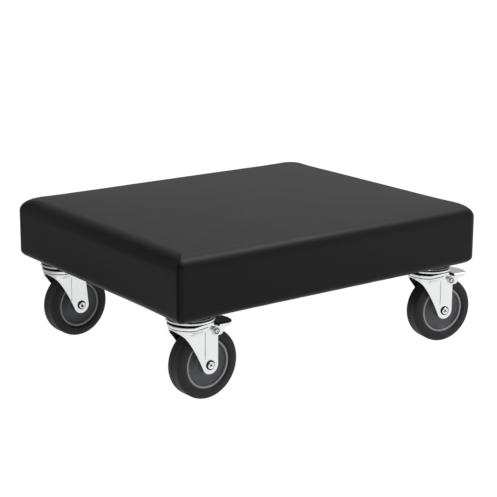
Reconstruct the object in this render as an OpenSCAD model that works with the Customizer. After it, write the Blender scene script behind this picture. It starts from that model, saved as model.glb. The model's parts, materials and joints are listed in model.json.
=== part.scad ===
// Low rolling seat: an upholstered pad on four swivel casters, two of them with a foot brake.
// Millimetres, +Z up, floor at z = 0, the middle of the seat over the origin.

/* [Seat pad] */
// Length of the seat along X
seat_w = 406; // [340:1:500]
// Depth of the seat along Y
seat_d = 334; // [270:1:420]
// Height of the pad from its underside to the rim of its top
seat_h = 67.6; // [50:0.1:90]
// How far the middle of the top stands above its rim
crown_h = 2; // [0.5:0.5:6]
// How far the soft sides draw in between the corners
side_draw = 1.2; // [0:0.1:4]
// Radius along the top edge of the pad
top_edge_r = 16.5; // [8:0.5:22]
// Radius along the bottom edge of the pad
bottom_edge_r = 7; // [4:0.5:10]
// Plan radius of the four upright corners
corner_r = 9.5; // [4:0.5:20]
// Thickness of the vinyl cover
vinyl_t = 1; // [0.6:0.1:2]
// How far the vinyl reaches under the board
turn_under = 24; // [15:1:30]
// Thickness of the plywood board
board_t = 12; // [9:1:18]
// Foam beside the board, from the outside of the pad to the board's edge
board_inset = 10; // [9:0.5:12]
// Plan radius of the board's corners
board_corner_r = 6; // [2:0.5:10]
// Thickness of the cloth dust cover under the board
dust_cloth_t = 0.5; // [0.3:0.1:1]
// Distance from the side of the pad to the edge of the dust cover
dust_cloth_inset = 15; // [12:1:20]
// Width of a staple across its crown
staple_w = 10; // [6:1:13]
// Thickness of the staple wire
staple_wire = 0.6; // [0.5:0.1:1]
// Length of a staple's legs
staple_leg = 8; // [6:0.5:9]
// Distance from one staple to the next
staple_pitch = 42; // [25:1:80]

/* [Caster places] */
// From the short side of the pad to a caster's swivel axis
caster_inset_x = 38; // [34:1:60]
// From the long side of the pad to a caster's swivel axis
caster_inset_y = 37; // [34:0.5:60]
// Height from the floor to the underside of the seat
caster_h = 95.6; // [94:0.1:110]

/* [Swivel head] */
// Side of the square top plate
plate_w = 51; // [51:1:60]
// Thickness of the top plate
plate_t = 1.6; // [1.4:0.1:2.4]
// Distance between neighbouring screw holes
hole_spacing = 41; // [41:0.5:43]
// Shank diameter of the wood screws
screw_d = 4.8; // [3.5:0.1:5]
// Length of the wood screws under the head
screw_len = 13; // [11:0.5:14]
// Radius of the race pressed into the top plate
race_r = 23.5; // [22.5:0.5:24]
// Depth of the race pressed into the top plate
race_h = 4.2; // [3.6:0.1:4.4]
// Shank diameter of the king pin
king_pin_d = 8; // [6:0.5:9]
// Diameter of the upper bearing balls
upper_ball_d = 6.35; // [6:0.05:6.5]
// Radius of the circle that the upper balls run on
upper_path_r = 17; // [15.5:0.5:18]
// Free height between the two upper races
upper_gap = 5.2; // [5:0.1:5.6]
// Diameter of the lower bearing balls
lower_ball_d = 3.97; // [3.8:0.01:4.2]
// Radius of the circle that the lower balls run on
lower_path_r = 8.5; // [8.2:0.1:8.7]
// Free height between the two lower races
lower_gap = 3.4; // [3.2:0.1:3.6]
// Radius of the lower race cap
cap_r = 11.6; // [11.2:0.1:11.7]
// Height of the pressed ring that shields the upper balls
shield_h = 2.2; // [1.6:0.1:2.6]

/* [Fork] */
// Outer radius of the fork's crown
crown_r = 24; // [23.5:0.5:26]
// Height of the crown's turned-down rim
rim_h = 4.2; // [3.6:0.1:5]
// How far the skirt reaches below the crown's rim in front
skirt_h = 1.7; // [1:0.1:3]
// Height over which the legs flare out to the crown
flare_h = 9; // [7:0.5:11]
// Thickness of the fork's sheet
fork_t = 1.8; // [1.5:0.1:2]
// Free width between the fork's legs
leg_gap = 24; // [23.5:0.5:26]
// From the swivel axis back to the axle
trail = 15; // [12:0.5:18]
// Radius of the leg's rounded foot round the axle
foot_r = 9.7; // [9:0.1:12]

/* [Wheel] */
// Diameter of the wheel over its tyre
wheel_d = 75; // [70:0.5:76]
// Width of the tyre
tyre_w = 21; // [18:0.5:22]
// Width of the flat part of the tread
tread_flat = 14; // [10:0.5:16]
// Outer radius of the plastic wheel core
core_r = 27; // [25:0.5:30]
// Width of the wheel core at its rim
core_w = 18.4; // [16:0.2:19]
// Radius of the wheel core's hub
hub_r = 9; // [8:0.5:12]
// Diameter of the axle bolt's shank
axle_d = 6.4; // [5:0.1:7]
// Wall of the sleeve that the wheel turns on
sleeve_wall = 1.3; // [1:0.1:2]

/* [Foot brake] */
// Thickness of the brake pedal's sheet
pedal_t = 1.5; // [1.2:0.1:1.8]
// From the swivel axis back to the pedal's hinge
pedal_x = 21.8; // [21.5:0.1:22.5]
// From the seat's underside down to the pedal's hinge
pedal_drop = 22.6; // [22.2:0.1:23]
// Reach of the pedal behind its hinge
pedal_reach = 26; // [22:0.5:30]
// Slope of the pedal when the brake is off
pedal_slope = 2; // [1:0.5:4]
// Shank diameter of the pedal's hinge rivets
rivet_d = 5; // [4:0.1:5.5]

/* [Hidden] */
$fn = 64;

// Running clearance of a shaft, and of soft or loose pieces beside their neighbours
run_c = 0.05;
loose_c = 0.25;
ball_c = 0.15;
// Least daylight between pieces that move past each other
pass_c = 0.4;
// Overlap that joins two shapes of one solid
join = 0.5;

// Each caster: name, side along X, side along Y, direction it trails from +X, has a brake
CASTERS = [
  ["front_left", -1, -1, 1.3, true],
  ["front_right", 1, -1, -9.8, true],
  ["rear_left", -1, 1, 2.9, false],
  ["rear_right", 1, 1, -4, false]
];
SEAT_PARTS = ["seat_cover", "foam_pad", "seat_board", "dust_cover", "cover_staples", "plate_screws"];
CASTER_PARTS = ["top_plate", "king_pin", "upper_balls", "lower_balls", "race_cap", "dust_ring", "fork",
  "axle_bolt", "axle_nut", "axle_sleeve", "wheel_core", "tyre"];
BRAKE_PARTS = ["brake_pedal", "brake_rivets", "brake_spring"];

caster_x = seat_w / 2 - caster_inset_x;
caster_y = seat_d / 2 - caster_inset_y;

// Pad: heights above the floor
seat_z = caster_h;
board_z = seat_z + vinyl_t;
board_w = seat_w - 2 * board_inset;
board_d = seat_d - 2 * board_inset;

// Swivel head, from the seat downwards
plate_z = caster_h - plate_t;
race_z = plate_z - race_h;
flange_w = 1.5;
flange_t = 0.9;
crown_z = race_z - upper_gap;
crown_t = 2;
crown_under = crown_z - crown_t;
rim_z = crown_z - rim_h;
cap_t = 1.6;
cap_z = crown_under - lower_gap - cap_t;
pin_head_t = 1.6;
pin_head_r = king_pin_d / 2 + 2.5;
upper_ball_z = race_z - upper_gap / 2;
lower_ball_z = crown_under - lower_gap / 2;
upper_groove_r = upper_ball_d / 2 + ball_c;
lower_groove_r = lower_ball_d / 2 + ball_c;
ball_spacing = 1.05;
shield_r = crown_r + 1.3;
shield_z = race_z - 1.1;
shield_t = 0.8;
plate_corner_r = 6;
screw_head_r = screw_d * 0.9;
screw_head_h = 1.8;

// Fork and wheel
axle_z = wheel_d / 2;
leg_out = leg_gap / 2 + fork_t;
flare_start = rim_z - flare_h;
skirt_r = crown_r - 1;
// Crease of a leg: where it stands behind the swivel axis, and how far the sheet turns outwards there
braked_crease_x = 8.5;
free_crease_x = 2;
crease_turn = 3.5;
sleeve_r = axle_d / 2 + run_c + sleeve_wall;
bolt_head_r = 5;
bolt_head_t = 2.2;
nut_t = 5;
nut_flats = 10;
hub_c = 0.4;
lobe_r = 6;

// Brake pedal, in the plane of one leg: heights and lengths are from its hinge
pedal_z = caster_h - pedal_drop;
pedal_in = leg_out + pass_c;
pedal_out = pedal_in + pedal_t;
pedal_top = 7.5;
plate_start = 4;
pedal_bow = 7.5;
ear_r = 5.4;
shoe_x = 8.5;
shoe_w = 15;
shoe_drop = 4.9;
rivet_head_r = 3.8;
rivet_head_t = 1.4;
rivet_inner_t = 0.9;

// Point on a circle round c, and a run of points along its arc
function on_circle(c, r, a) = [c[0] + r * cos(a), c[1] + r * sin(a)];
function arc(c, r, a0, a1, n) = [for (i = [0:n]) on_circle(c, r, a0 + (a1 - a0) * i / n)];
// Points along a cubic curve with the end points a and d and the handles b and c
function curve(a, b, c, d, n) = [
  for (i = [0:n])
    let (t = i / n, s = 1 - t) s * s * s * a + 3 * s * s * t * b + 3 * s * t * t * c + t * t * t * d
];
// Rise from 0 to 1 with level ends
function smooth(t) = t * t * (3 - 2 * t);

// The pad is a stack of rings, each [distance in from the side, height, share of the side's draw-in].
// Along a ring the corners are arcs and the sides bow inwards by draw.
corner_steps = 4;
side_steps = 7;
function ring_point(side, t, x, y, draw) =
  side == 0 ? [x * (2 * t - 1), -y + draw] :
  side == 1 ? [x - draw, y * (2 * t - 1)] :
  side == 2 ? [x * (1 - 2 * t), y - draw] :
  [-x + draw, y * (1 - 2 * t)];
function ring_xy(inset, share) =
  let (
    r = max(corner_r - inset, 0.8),
    x = seat_w / 2 - inset,
    y = seat_d / 2 - inset,
    turn = [[x - r, -y + r], [x - r, y - r], [-x + r, y - r], [-x + r, -y + r]]
  ) [
    for (side = [0:3]) each concat(
      [
        for (i = [1:side_steps - 1])
          let (
            t = i / side_steps,
            half = side % 2 == 0 ? x : y,
            u = (r + (2 * half - 2 * r) * t) / (2 * half)
          ) ring_point(side, u, x, y, share * side_draw * 4 * t * (1 - t))
      ],
      arc(turn[side], r, -90 + 90 * side, 90 * side, corner_steps)
    )
  ];
function ring(p, scale = 1) = [for (q = ring_xy(p[0], p[2])) [q[0] * scale, q[1] * scale, seat_z + p[1]]];
function side_share(z) = z <= board_t || z >= seat_h ? 0 : sin(180 * (z - board_t) / (seat_h - board_t));
function with_share(p) = [p[0], p[1], side_share(p[1])];
// Outer surface of the pad shrunk by skin: top edge, side, bottom edge
function pad_rings(skin, n) = [
  for (p = concat(
    [for (i = [0:n]) let (a = 90 - 90 * i / n)
      [top_edge_r - (top_edge_r - skin) * cos(a), seat_h - top_edge_r + (top_edge_r - skin) * sin(a)]],
    [[skin, (seat_h + bottom_edge_r - top_edge_r) / 2 + 4]],
    [for (i = [0:n]) let (a = 90 * i / n)
      [bottom_edge_r - (bottom_edge_r - skin) * cos(a), bottom_edge_r - (bottom_edge_r - skin) * sin(a)]]
  )) with_share(p)
];
// Rings of the crowned top, from the middle outwards
function crown_rings(skin, shares) = [
  for (f = shares) ring([top_edge_r, seat_h - skin + crown_h * (1 - f * f), 0], f)
];
function rings_of(profile) = [for (p = profile) ring(p)];

// Closed solid through rings that start and end at a point
module skin_solid(first, rings, last) {
  n = len(rings[0]);
  m = len(rings);
  points = concat([first], [for (r = rings) each r], [last]);
  function at(j, i) = 1 + j * n + i % n;
  polyhedron(
    points = points,
    faces = concat(
      [for (i = [0:n - 1]) [0, at(0, i + 1), at(0, i)]],
      [for (j = [0:m - 2]) for (i = [0:n - 1]) each [
        [at(j, i), at(j, i + 1), at(j + 1, i + 1)],
        [at(j, i), at(j + 1, i + 1), at(j + 1, i)]
      ]],
      [for (i = [0:n - 1]) [at(m - 1, i), at(m - 1, i + 1), m * n + 1]]
    )
  );
}

function reversed(list) = [for (i = [len(list) - 1:-1:0]) list[i]];

module seat_cover() {
  lip = board_inset + turn_under;
  color([0.09, 0.09, 0.1])
    skin_solid(
      [0, 0, seat_z + seat_h + crown_h],
      concat(
        crown_rings(0, [0.35, 0.75, 0.93]),
        rings_of(pad_rings(0, 4)),
        rings_of([[lip, 0, 0], [lip, vinyl_t, 0]]),
        rings_of(reversed(pad_rings(vinyl_t, 3))),
        crown_rings(vinyl_t, [0.8, 0.4])
      ),
      [0, 0, seat_z + seat_h - vinyl_t + crown_h]
    );
}

module foam_pad() {
  skin = vinyl_t + loose_c;
  pocket = board_inset - loose_c;
  board_top = vinyl_t + board_t;
  color([0.93, 0.9, 0.78])
    skin_solid(
      [0, 0, seat_z + seat_h - skin + crown_h],
      concat(
        crown_rings(skin, [0.4, 0.8]),
        rings_of(pad_rings(skin, 3)),
        rings_of([[pocket, skin, 0], [pocket, board_top, 0]])
      ),
      [0, 0, seat_z + board_top]
    );
}

module rounded_plan(w, d, r) {
  square([w - 2 * r, d], center = true);
  square([w, d - 2 * r], center = true);
  for (x = [-1, 1]) for (y = [-1, 1]) translate([x * (w / 2 - r), y * (d / 2 - r)]) circle(r);
}

// Children at each screw of each caster's plate
module at_screws() {
  for (c = CASTERS) translate([c[1] * caster_x, c[2] * caster_y])
    for (x = [-1, 1]) for (y = [-1, 1])
      translate([x * hole_spacing / 2, y * hole_spacing / 2]) children();
}

module seat_board() {
  color([0.74, 0.6, 0.42])
    difference() {
      translate([0, 0, board_z]) linear_extrude(board_t) rounded_plan(board_w, board_d, board_corner_r);
      at_screws() translate([0, 0, board_z - 1]) cylinder(h = board_t + 2, d = screw_d + 2 * run_c);
    }
}

module screw() {
  recess_w = 1;
  difference() {
    union() {
      translate([0, 0, plate_z - screw_head_h])
        cylinder(h = screw_head_h, r1 = screw_head_r * 0.8, r2 = screw_head_r);
      translate([0, 0, plate_z - join]) cylinder(h = screw_len + join - 2, d = screw_d);
      translate([0, 0, plate_z + screw_len - 2]) cylinder(h = 2, d1 = screw_d, d2 = 1);
    }
    for (a = [0, 90]) rotate(a)
      translate([-screw_head_r / 2, -recess_w / 2, plate_z - screw_head_h - 1])
        cube([screw_head_r, recess_w, screw_head_h]);
  }
}

module plate_screws() {
  color([0.8, 0.8, 0.82]) at_screws() screw();
}

// Dust cover: a cloth cut out round the four plates
cloth_w = seat_w - 2 * dust_cloth_inset;
cloth_d = seat_d - 2 * dust_cloth_inset;
cut_c = 1.5;
notch_x = caster_x - plate_w / 2 - cut_c;
notch_y = caster_y - plate_w / 2 - cut_c;
staple_edge = 4;
staple_pocket = 0.15;

module staple() {
  cube([staple_w, staple_wire * 1.5, staple_wire], center = true);
  for (s = [-1, 1]) translate([s * (staple_w - staple_wire) / 2, 0, (staple_leg - staple_wire) / 2])
    cube([staple_wire, staple_wire * 1.5, staple_leg], center = true);
}

// Children along the four free edges of the dust cover
module at_staples() {
  run_x = 2 * notch_x - 2 * staple_w;
  run_y = 2 * notch_y - 2 * staple_w;
  count_x = floor(run_x / staple_pitch);
  count_y = floor(run_y / staple_pitch);
  for (s = [-1, 1]) {
    for (i = [0:count_x])
      translate([run_x * (i / count_x - 0.5), s * (cloth_d / 2 - staple_edge), 0]) children();
    for (i = [0:count_y])
      translate([s * (cloth_w / 2 - staple_edge), run_y * (i / count_y - 0.5), 0]) rotate(90) children();
  }
}

module cover_staples() {
  color([0.75, 0.75, 0.77])
    at_staples() translate([0, 0, seat_z - dust_cloth_t + staple_wire / 2]) staple();
}

module dust_cover() {
  pocket = [staple_w + 2 * staple_pocket, staple_wire * 1.5 + 2 * staple_pocket, 4 * dust_cloth_t];
  color([0.13, 0.13, 0.13])
    difference() {
      translate([0, 0, seat_z - dust_cloth_t]) linear_extrude(dust_cloth_t) {
        square([cloth_w, 2 * notch_y], center = true);
        square([2 * notch_x, cloth_d], center = true);
      }
      at_staples() translate([0, 0, seat_z - dust_cloth_t]) cube(pocket, center = true);
    }
}

// Caster pieces are drawn with the swivel axis on Z and the wheel trailing towards +X
module groove(path_r, z, r) {
  translate([0, 0, z]) rotate_extrude() translate([path_r, 0]) circle(r);
}

module top_plate() {
  slot = screw_d + 0.8;
  color([0.83, 0.83, 0.85])
    difference() {
      union() {
        translate([0, 0, plate_z]) linear_extrude(plate_t) rounded_plan(plate_w, plate_w, plate_corner_r);
        translate([0, 0, race_z]) cylinder(h = race_h + join, r = race_r - flange_w);
        translate([0, 0, race_z]) cylinder(h = flange_t, r = race_r);
      }
      for (x = [-1, 1]) for (y = [-1, 1])
        translate([x * hole_spacing / 2, y * hole_spacing / 2, plate_z - 1])
          cylinder(h = plate_t + 2, d = slot);
      translate([0, 0, caster_h - pin_head_t]) cylinder(h = pin_head_t + 1, r = pin_head_r + loose_c);
      translate([0, 0, race_z - 1]) cylinder(h = race_h + plate_t + 2, r = king_pin_d / 2 + run_c);
      groove(upper_path_r, upper_ball_z, upper_groove_r);
    }
}

module king_pin() {
  color([0.7, 0.7, 0.72]) {
    translate([0, 0, cap_z - pin_head_t]) cylinder(h = caster_h - cap_z, d = king_pin_d);
    translate([0, 0, caster_h - pin_head_t]) cylinder(h = pin_head_t - 0.1, r = pin_head_r);
    translate([0, 0, cap_z - pin_head_t]) cylinder(h = pin_head_t, r = pin_head_r - 0.5);
  }
}

module balls(path_r, z, d) {
  count = floor(2 * PI * path_r / (d * ball_spacing));
  color([0.85, 0.86, 0.88])
    for (i = [0:count - 1]) rotate(360 * i / count) translate([path_r, 0, z]) sphere(d = d);
}

module race_cap() {
  color([0.75, 0.75, 0.77])
    difference() {
      translate([0, 0, cap_z]) cylinder(h = cap_t, r = cap_r);
      translate([0, 0, cap_z - 1]) cylinder(h = cap_t + 2, r = king_pin_d / 2 + run_c);
      groove(lower_path_r, lower_ball_z, lower_groove_r);
    }
}

// Pressed ring that shields the upper balls: it hangs from the race by a raised inner lip
module dust_ring() {
  lip_r = race_r - shield_t;
  edge = shield_t / 2;
  color([0.88, 0.88, 0.9])
    rotate_extrude() polygon(concat(
      [[lip_r - shield_t, race_z], [lip_r, race_z], [lip_r + shield_t / 2, shield_z]],
      arc([shield_r - edge, shield_z - edge], edge, 90, 0, 3),
      [[shield_r, shield_z - shield_h], [shield_r - shield_t, shield_z - shield_h],
        [shield_r - shield_t, shield_z - shield_t], [lip_r - shield_t, shield_z - shield_t]]
    ));
}

// Side outline of a fork leg, in X and Z: the sweep from the skirt down to the foot, then up the back
lead_turn = 204;
function leg_outline(top_x) =
  let (
    axle = [trail, axle_z],
    foot = on_circle(axle, foot_r, lead_turn),
    lean = atan2(trail + foot_r - top_x, crown_under - axle_z),
    sweep = (crown_under - axle_z) * 0.58
  ) concat(
    curve([-crown_r, rim_z - skirt_h], [-crown_r * 0.65, rim_z - skirt_h - sweep * 0.22],
      foot + sweep * [cos(lead_turn - 90), sin(lead_turn - 90)], foot, 16),
    arc(axle, foot_r, lead_turn + 10, 360 + lean, 14),
    [[top_x, crown_under + join], [-crown_r, crown_under + join]]
  );

// Outline turned to stand in the X-Z plane, with the sheet running towards +Y
module upright(y, t) {
  translate([0, y + t, 0]) rotate([90, 0, 0]) linear_extrude(t) children();
}

// Outer edge of a leg seen from behind: straight below, flared out to the crown above
flare_steps = 8;
flare_edge = [
  for (i = [0:flare_steps])
    let (t = i / flare_steps) [leg_out + (skirt_r - leg_out) * smooth(t), flare_start + flare_h * t]
];
leg_top = crown_under + join;

module flared_sheet() {
  polygon(concat(
    [[leg_out, 0]], flare_edge, [[skirt_r, leg_top], [skirt_r - fork_t, leg_top]],
    [for (p = reversed(flare_edge)) [p[0] - fork_t, p[1]]], [[leg_out - fork_t, 0]]
  ));
}

// All that lies inside the outer edge
module flared_room() {
  polygon(concat(
    [[-skirt_r / 2, 0], [leg_out, 0]], flare_edge, [[skirt_r, leg_top], [-skirt_r / 2, leg_top]]
  ));
}

// Bar ahead of a leg's crease, its end view drawn by the children, turned outwards about the crease
module ahead_of(crease_x) {
  translate([crease_x, leg_out, 0]) rotate(-crease_turn) translate([-2 * crown_r, -leg_out, 0])
    rotate([90, 0, 90]) linear_extrude(2 * crown_r) children();
}

module leg(top_x, crease_x, braked) {
  intersection() {
    upright(-skirt_r / 2, 2 * crown_r) {
      polygon(leg_outline(top_x));
      if (braked) translate([pedal_x, pedal_z]) circle(lobe_r);
    }
    union() {
      // Panel ahead of the crease, up to the skirt
      intersection() {
        cylinder(h = leg_top, r = skirt_r);
        ahead_of(crease_x) flared_sheet();
      }
      // Skirt that carries the crown's round on below its rim
      intersection() {
        difference() {
          cylinder(h = leg_top, r = skirt_r);
          translate([0, 0, -1]) cylinder(h = leg_top + 2, r = skirt_r - fork_t);
        }
        ahead_of(crease_x) flared_room();
      }
      // Flat panel behind the crease
      intersection() {
        translate([crease_x - join, leg_gap / 2, 0]) cube([2 * crown_r, fork_t, leg_top]);
        union() {
          cylinder(h = leg_top, r = skirt_r);
          cube([2 * crown_r, crown_r, pedal_z + lobe_r]);
        }
      }
    }
  }
}

module fork(braked) {
  top_x = braked ? trail + foot_r : trail + foot_r / 2;
  crease_x = braked ? braked_crease_x : free_crease_x;
  edge = 1;
  color([0.86, 0.87, 0.89])
    difference() {
      union() {
        rotate_extrude() polygon(concat(
          [[1, crown_under], [crown_r - crown_t, crown_under],
            [crown_r - crown_t, rim_z], [crown_r, rim_z]],
          arc([crown_r - edge, crown_z - edge], edge, 0, 90, 4), [[1, crown_z]]
        ));
        for (s = [0, 1]) mirror([0, s, 0]) leg(top_x, crease_x, braked);
      }
      translate([0, 0, crown_under - 1]) cylinder(h = crown_t + 2, r = king_pin_d / 2 + run_c);
      groove(upper_path_r, upper_ball_z, upper_groove_r);
      groove(lower_path_r, lower_ball_z, lower_groove_r);
      upright_bore(trail, axle_z, axle_d / 2 + run_c);
      if (braked) upright_bore(pedal_x, pedal_z, rivet_d / 2 + run_c);
    }
}

// Round bar along Y across both legs
module upright_bore(x, z, r) {
  translate([x, 2 * crown_r, z]) rotate([90, 0, 0]) cylinder(h = 4 * crown_r, r = r);
}

// Turned shape round the axle, drawn as [radius, distance along the axle]
module on_axle() {
  translate([trail, 0, axle_z]) rotate([90, 0, 0]) rotate_extrude() children();
}

module axle_bolt() {
  dimple_r = 2.6;
  end = leg_out + nut_t + 1.2;
  color([0.82, 0.82, 0.84])
    on_axle() polygon(concat(
      [[0, -end], [axle_d / 2 - 0.5, -end], [axle_d / 2, -end + 0.5],
        [axle_d / 2, leg_out], [bolt_head_r, leg_out]],
      arc([bolt_head_r - 1.2, leg_out + bolt_head_t - 1.2], 1.2, 0, 90, 4),
      [[dimple_r, leg_out + bolt_head_t], [dimple_r - 0.5, leg_out + bolt_head_t - 1],
        [0, leg_out + bolt_head_t - 1]]
    ));
}

module axle_nut() {
  color([0.78, 0.78, 0.8])
    translate([trail, leg_out, axle_z]) rotate([-90, 0, 0])
      difference() {
        cylinder(h = nut_t, r = nut_flats / sqrt(3), $fn = 6);
        translate([0, 0, -1]) cylinder(h = nut_t + 2, r = axle_d / 2 + run_c);
      }
}

module axle_sleeve() {
  color([0.7, 0.7, 0.73])
    on_axle() polygon([
      [axle_d / 2 + run_c, -leg_gap / 2], [sleeve_r, -leg_gap / 2],
      [sleeve_r, leg_gap / 2], [axle_d / 2 + run_c, leg_gap / 2]
    ]);
}

// Both halves of a profile given for the positive side of the wheel
function both_sides(half) = concat(half, [for (p = reversed(half)) [p[0], -p[1]]]);

module wheel_core() {
  bore = sleeve_r + run_c;
  hub_w = leg_gap / 2 - hub_c;
  web = 2.6;
  lip = core_w / 2;
  color([0.28, 0.29, 0.31])
    on_axle() polygon(both_sides(concat(
      [[bore, hub_w], [hub_r - 0.8, hub_w], [hub_r, hub_w - 0.8]],
      curve([hub_r, web + 2], [hub_r + 1, web], [core_r - 8, web], [core_r - 3, lip - 2.2], 6),
      [[core_r - 2.3, lip - 0.3], [core_r - 2, lip], [core_r - 0.8, lip],
        [core_r - 0.5, lip - 0.3], [core_r, lip - 0.7]]
    )));
}

module tyre() {
  half = tyre_w / 2;
  flat = tread_flat / 2;
  shoulder = min(half - flat, wheel_d / 20);
  seat_r = core_r;
  lip = core_w / 2;
  color([0.1, 0.1, 0.105])
    on_axle() polygon(both_sides(concat(
      [[seat_r, lip - 0.7], [seat_r + 0.8, lip]],
      curve([seat_r + 0.8, lip], [seat_r + 1.8, half - 0.2], [wheel_d / 2 - shoulder - 3, half],
        [wheel_d / 2 - shoulder, half - 0.4], 4),
      curve([wheel_d / 2 - shoulder, half - 0.4], [wheel_d / 2 - shoulder / 3, half - 0.8],
        [wheel_d / 2, flat + shoulder / 2], [wheel_d / 2, flat], 4)
    )));
}

// Side outline of the pedal's ear from the hinge: a round lobe below, the sloping tread above
module ear_outline() {
  polygon(concat(
    [[-1.12 * ear_r, 0.7 * ear_r], [-0.7 * ear_r, 1.16 * ear_r], [-0.3 * ear_r, pedal_top],
      [pedal_reach - pedal_bow, pedal_top],
      [pedal_reach - pedal_bow, pedal_top - pedal_t - 0.5]],
    curve([2.15 * ear_r, 0.9 * ear_r], [1.8 * ear_r, 0.45 * ear_r], [1.8 * ear_r, -0.4 * ear_r],
      [1.1 * ear_r, -0.78 * ear_r], 5),
    arc([0, 0], ear_r, -60, -150, 5),
    [[-1.15 * ear_r, 0]]
  ));
}

// Pedal seen from above, with its bowed rear edge
module tread_outline(y) {
  rise = pedal_reach - pedal_bow;
  polygon(concat([[plate_start, -y], [rise, -y]],
    curve([rise, -y], [rise + 1.1 * pedal_bow, -0.55 * y], [rise + 1.1 * pedal_bow, 0.55 * y],
      [rise, y], 10),
    [[plate_start, y]]));
}

module brake_pedal() {
  color([0.8, 0.81, 0.83])
    translate([pedal_x, 0, pedal_z]) rotate([0, pedal_slope, 0])
      difference() {
        union() {
          for (s = [0, 1]) mirror([0, s, 0]) upright(pedal_in, pedal_t) ear_outline();
          translate([0, 0, pedal_top - pedal_t]) linear_extrude(pedal_t) tread_outline(pedal_out);
          translate([shoe_x, -shoe_w / 2, pedal_top - pedal_t - shoe_drop])
            cube([pedal_t, shoe_w, shoe_drop + join]);
        }
        upright_bore(0, 0, rivet_d / 2 + run_c);
      }
}

module brake_rivets() {
  start = leg_gap / 2 - rivet_inner_t;
  color([0.72, 0.72, 0.74])
    for (s = [0, 1]) mirror([0, s, 0])
      translate([pedal_x, 0, pedal_z]) rotate([-90, 0, 0]) rotate_extrude() polygon(concat(
        [[0, start], [rivet_d / 2 + 0.8, start], [rivet_d / 2 + 0.8, leg_gap / 2],
          [rivet_d / 2, leg_gap / 2], [rivet_d / 2, pedal_out + run_c], [rivet_head_r, pedal_out + run_c]],
        arc([rivet_head_r - 1, pedal_out + run_c + rivet_head_t - 1], 1, 0, 90, 3),
        [[0, pedal_out + run_c + rivet_head_t]]
      ));
}

// Leaf spring under the crown whose free end bears on the front of the tread and holds the pedal up
module brake_spring() {
  w = 10;
  t = 0.4;
  start = cap_r + 1.5;
  step = crown_r - crown_t - 1;
  low = rim_z - loose_c - t;
  end = pedal_x + plate_start - loose_c;
  color([0.6, 0.61, 0.64])
    upright(-w / 2, w) polygon([
      [start, crown_under], [start, crown_under - t], [step - t, crown_under - t], [step - t, low],
      [end, low], [end, low + t], [step, low + t], [step, crown_under]
    ]);
}

seat_cover();
foam_pad();
seat_board();
dust_cover();
cover_staples();
plate_screws();
for (c = CASTERS) {
  name = c[0];
  braked = c[4];
  place = [c[1] * caster_x, c[2] * caster_y, 0];
  translate(place) top_plate();
  translate(place) king_pin();
  translate(place) balls(upper_path_r, upper_ball_z, upper_ball_d);
  translate(place) balls(lower_path_r, lower_ball_z, lower_ball_d);
  translate(place) race_cap();
  translate(place) dust_ring();
  translate(place) rotate(c[3]) fork(braked);
  translate(place) rotate(c[3]) axle_bolt();
  translate(place) rotate(c[3]) axle_nut();
  translate(place) rotate(c[3]) axle_sleeve();
  translate(place) rotate(c[3]) wheel_core();
  translate(place) rotate(c[3]) tyre();
  if (braked) {
    translate(place) rotate(c[3]) brake_pedal();
    translate(place) rotate(c[3]) brake_rivets();
    translate(place) rotate(c[3]) brake_spring();
  }
}
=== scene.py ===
"""Looks of a low rolling seat: a black vinyl pad on four swivel casters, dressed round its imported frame."""

import json
import math

import bmesh
import bpy
import numpy as np
from mathutils import Matrix, Vector


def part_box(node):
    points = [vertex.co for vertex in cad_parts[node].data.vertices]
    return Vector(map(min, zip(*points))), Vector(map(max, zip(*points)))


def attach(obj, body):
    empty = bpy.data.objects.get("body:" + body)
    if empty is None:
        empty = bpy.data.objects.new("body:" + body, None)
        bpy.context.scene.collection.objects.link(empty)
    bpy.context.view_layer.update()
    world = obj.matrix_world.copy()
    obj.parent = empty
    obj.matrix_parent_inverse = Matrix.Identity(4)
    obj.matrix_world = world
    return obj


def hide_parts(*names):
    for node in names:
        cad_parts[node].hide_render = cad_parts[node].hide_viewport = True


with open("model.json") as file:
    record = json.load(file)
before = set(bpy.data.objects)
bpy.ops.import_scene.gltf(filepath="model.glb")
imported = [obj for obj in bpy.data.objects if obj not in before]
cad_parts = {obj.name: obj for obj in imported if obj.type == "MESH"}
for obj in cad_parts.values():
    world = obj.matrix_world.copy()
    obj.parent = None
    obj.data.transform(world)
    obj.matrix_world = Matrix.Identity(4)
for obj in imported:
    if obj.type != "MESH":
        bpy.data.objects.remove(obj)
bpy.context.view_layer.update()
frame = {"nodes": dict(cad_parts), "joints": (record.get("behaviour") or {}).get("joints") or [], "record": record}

MM = 0.001
NODES = frame["nodes"]
JOINTS = {joint["name"]: joint for joint in frame["joints"]}
CASTERS = ("front_left", "front_right", "rear_left", "rear_right")

# Camera of the photograph, which has 497 x 497 pixels
CAMERA_PLACE = Vector((-0.93994, -1.26812, 0.51784))
CAMERA_LOOKS = Vector((0.57818, 0.77610, -0.25175))
CAMERA_UP = Vector((0.14667, 0.20466, 0.96778))
FOCAL_PIXELS = 1423.74
IMAGE_PIXELS = 497
SENSOR_MM = 36

# Floor: half its side in metres, its share of plain white where it is seen, and the strength of that white.
# Glosses see the white fall to the share FLOOR_DIM where Y - X, in metres, rises through FLOOR_FADE
FLOOR_HALF = 15
FLOOR_WHITE = 0.8
FLOOR_GLOW = 1.22
FLOOR_FADE = (0.2, 0.8)
FLOOR_DIM = 0.36
# Walls: strength as a light and in glosses. It falls to the share CEILING where the height of the direction
# rises through WALL_FADE
WALL_LIGHT = 0.8
WALL_GLOSS = 0.44
WALL_FADE = (0.3, 0.55)
CEILING = 0.3
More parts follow.
